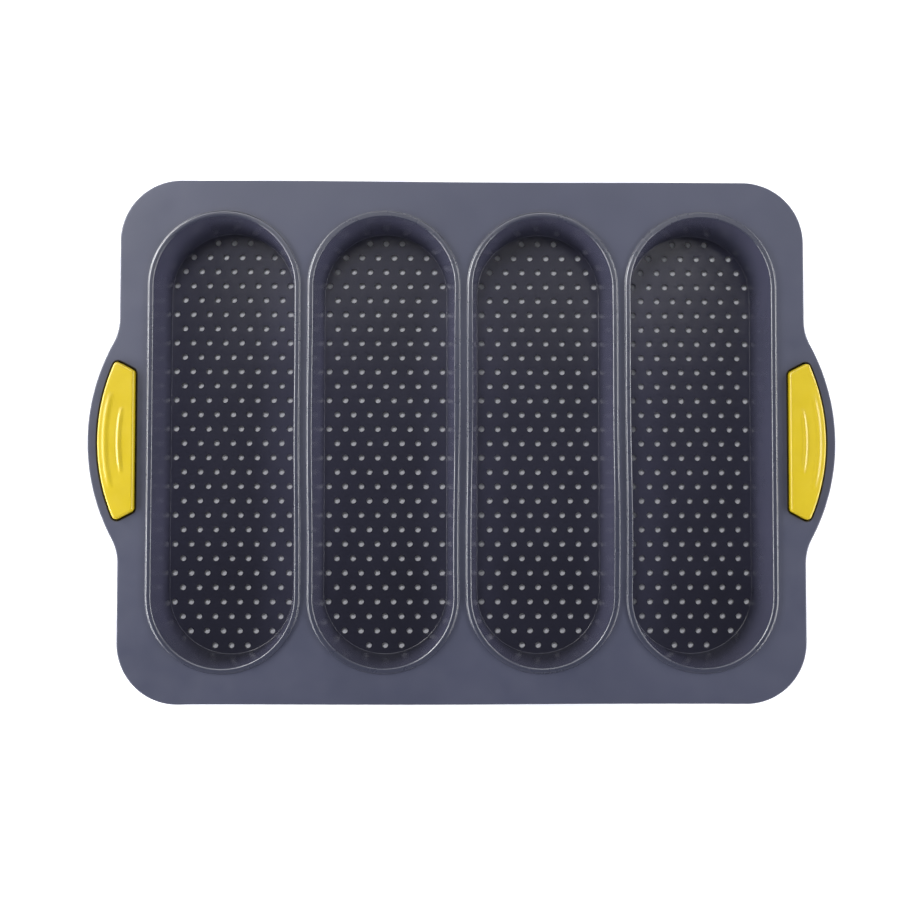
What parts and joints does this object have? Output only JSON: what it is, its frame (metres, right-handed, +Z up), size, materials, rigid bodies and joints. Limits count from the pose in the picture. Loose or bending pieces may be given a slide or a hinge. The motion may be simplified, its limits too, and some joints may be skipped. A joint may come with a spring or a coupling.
{
  "type": "baguette tray",
  "caption": "Flexible silicone baguette tray with long rounded perforated troughs, a flat wire-stiffened rim and a yellow grip in each handle lug.",
  "frame": {"origin": "centre of the tray in plan, at the level of the trough undersides that it rests on", "axes": "+X from handle to handle across the troughs (to the right with the troughs seen open), +Y along the troughs, +Z up out of the troughs"},
  "size_m": [0.365, 0.2552, 0.0309],
  "materials": {
    "silicone": "satin blue-grey silicone, smooth, slightly glossy in the troughs",
    "grip": "glossy yellow",
    "wire": "plain drawn steel wire"
  },
  "bodies": {
    "root": {"tray_body": "silicone", "frame_wire": "wire", "left_grip": "grip", "right_grip": "grip"}
  },
  "joints": []
}
